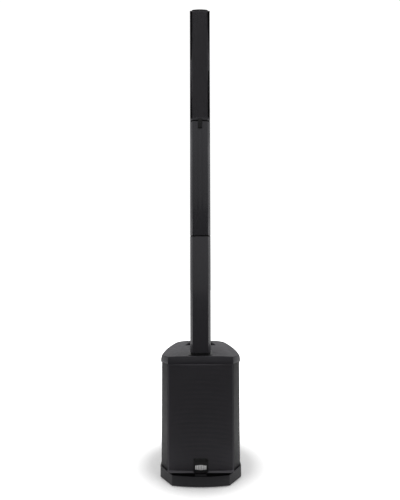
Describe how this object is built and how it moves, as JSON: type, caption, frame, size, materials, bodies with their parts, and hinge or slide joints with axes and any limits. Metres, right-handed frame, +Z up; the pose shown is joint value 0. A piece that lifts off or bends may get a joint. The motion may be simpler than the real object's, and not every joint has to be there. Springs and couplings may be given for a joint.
{
  "type": "column pa system",
  "caption": "Portable column loudspeaker: a subwoofer base with a rear control panel and carry handle, two plug-in spacers and a slim speaker array.",
  "frame": {"origin": "on the floor under the middle of the base", "axes": "+Z up along the column, -Y towards the front grille, +X to the right seen from the front"},
  "size_m": [0.3444, 0.46, 2.05],
  "materials": {
    "cabinet_plastic": "fine moulded texture",
    "cap_plastic": "fine moulded texture",
    "plinth_plastic": "fine moulded texture",
    "grille_steel": "powder coat",
    "column_aluminium": "satin powder coat",
    "fastener_steel": "black oxide",
    "foot_rubber": "matt",
    "badge_plastic": "gloss",
    "emblem_white": "satin",
    "board_wood": "raw board",
    "black_wood": "painted board",
    "cone_paper": "pulp",
    "basket_steel": "semi gloss",
    "magnet": "ferrite and plated steel",
    "surround_rubber": "matt",
    "spider_cloth": "resin treated",
    "contact_brass": "plated pins in a black block",
    "panel_steel": "satin",
    "heatsink_aluminium": "black anodised",
    "circuit_board": "solder mask",
    "transformer": "taped winding",
    "black_gloss": "satin",
    "knob_rubber": "soft touch",
    "button_plastic": "matt",
    "display_glass": "tinted",
    "led_lens": "diffuse"
  },
  "bodies": {
    "base": {"plinth": "plinth_plastic", "rubber_feet": "foot_rubber", "base_screws": "fastener_steel", "cabinet_shell": "cabinet_plastic", "front_baffle": "black_wood", "port_tubes": "black_gloss", "cabinet_brace": "board_wood", "woofer_basket": "basket_steel", "woofer_magnet": "magnet", "woofer_surround": "surround_rubber", "woofer_spider": "spider_cloth", "woofer_screws": "fastener_steel", "woofer_grille": "grille_steel", "badge_plate": "badge_plastic", "badge_emblem": "emblem_white", "top_cap": "cap_plastic", "handle_cup": "cap_plastic", "column_socket": "plinth_plastic", "socket_pins": "contact_brass", "control_panel": "panel_steel", "heat_sink": "heatsink_aluminium", "amplifier_board": "circuit_board", "power_supply": "transformer", "mains_inlet": "black_gloss", "switch_frame": "black_gloss", "combo_jacks": "black_gloss", "line_jacks": "black_gloss", "xlr_output": "black_gloss", "display_window": "display_glass", "status_leds": "led_lens", "panel_screws": "fastener_steel"},
    "woofer_cone": {"woofer_cone": "cone_paper"},
    "power_rocker": {"power_rocker": "black_gloss"},
    "channel_1_knob": {"channel_1_knob": "knob_rubber"},
    "channel_2_knob": {"channel_2_knob": "knob_rubber"},
    "channel_3_knob": {"channel_3_knob": "knob_rubber"},
    "master_knob": {"master_knob": "knob_rubber"},
    "menu_knob": {"menu_knob": "knob_rubber"},
    "pair_button": {"pair_button": "button_plastic"},
    "mute_button": {"mute_button": "button_plastic"},
    "mode_button": {"mode_button": "button_plastic"},
    "lower_spacer": {"lower_spacer_tube": "column_aluminium", "lower_spacer_plug": "plinth_plastic", "lower_spacer_socket": "plinth_plastic", "lower_spacer_wiring": "contact_brass"},
    "upper_spacer": {"upper_spacer_tube": "column_aluminium", "upper_spacer_plug": "plinth_plastic", "upper_spacer_socket": "plinth_plastic", "upper_spacer_wiring": "contact_brass"},
    "latch_button": {"latch_button": "black_gloss"},
    "array": {"array_housing": "column_aluminium", "array_top_cap": "plinth_plastic", "array_plug": "plinth_plastic", "array_wiring": "contact_brass", "array_baffle": "black_wood", "array_drivers": "basket_steel", "array_surrounds": "surround_rubber", "array_screws": "fastener_steel", "array_grille": "grille_steel"},
    "array_cones": {"array_cones": "cone_paper"}
  },
  "joints": [
    {"name": "lower_spacer_lift", "type": "slide", "parent": "base", "child": "lower_spacer", "axis": [0, 0, 1], "range_m": [0, 0.07]},
    {"name": "upper_spacer_lift", "type": "slide", "parent": "lower_spacer", "child": "upper_spacer", "axis": [0, 0, 1], "range_m": [0, 0.07]},
    {"name": "array_lift", "type": "slide", "parent": "upper_spacer", "child": "array", "axis": [0, 0, 1], "range_m": [0, 0.07]},
    {"name": "latch_press", "type": "slide", "parent": "upper_spacer", "child": "latch_button", "axis": [0, 1, 0], "range_m": [0, 0.0014], "stiffness_N_per_m": 300},
    {"name": "woofer_travel", "type": "slide", "parent": "base", "child": "woofer_cone", "axis": [0, -1, 0], "range_m": [-0.006, 0.006], "stiffness_N_per_m": 2500, "deforming": ["woofer_surround", "woofer_spider"]},
    {"name": "array_cone_travel", "type": "slide", "parent": "array", "child": "array_cones", "axis": [0, -1, 0], "range_m": [-0.0015, 0.0015], "stiffness_N_per_m": 2000, "deforming": ["array_surrounds"]},
    {"name": "power_rocker_tilt", "type": "hinge", "parent": "base", "child": "power_rocker", "pos_m": [-0.026, 0.197, 0.134], "axis": [1, 0, 0], "range_deg": [-9, 0]},
    {"name": "channel_1_knob_turn", "type": "hinge", "parent": "base", "child": "channel_1_knob", "pos_m": [0.062, 0.2, 0.314], "axis": [0, -1, 0], "range_deg": [-150, 150]},
    {"name": "channel_2_knob_turn", "type": "hinge", "parent": "base", "child": "channel_2_knob", "pos_m": [0.024, 0.2, 0.314], "axis": [0, -1, 0], "range_deg": [-150, 150]},
    {"name": "channel_3_knob_turn", "type": "hinge", "parent": "base", "child": "channel_3_knob", "pos_m": [-0.014, 0.2, 0.314], "axis": [0, -1, 0], "range_deg": [-150, 150]},
    {"name": "master_knob_turn", "type": "hinge", "parent": "base", "child": "master_knob", "pos_m": [-0.056, 0.2, 0.314], "axis": [0, -1, 0], "range_deg": [-150, 150]},
    {"name": "menu_knob_turn", "type": "hinge", "parent": "base", "child": "menu_knob", "pos_m": [-0.056, 0.2, 0.388], "axis": [0, -1, 0], "continuous": true},
    {"name": "pair_button_press", "type": "slide", "parent": "base", "child": "pair_button", "axis": [0, -1, 0], "range_m": [0, 0.0012], "stiffness_N_per_m": 300},
    {"name": "mute_button_press", "type": "slide", "parent": "base", "child": "mute_button", "axis": [0, -1, 0], "range_m": [0, 0.0012], "stiffness_N_per_m": 300},
    {"name": "mode_button_press", "type": "slide", "parent": "base", "child": "mode_button", "axis": [0, -1, 0], "range_m": [0, 0.0012], "stiffness_N_per_m": 300}
  ]
}
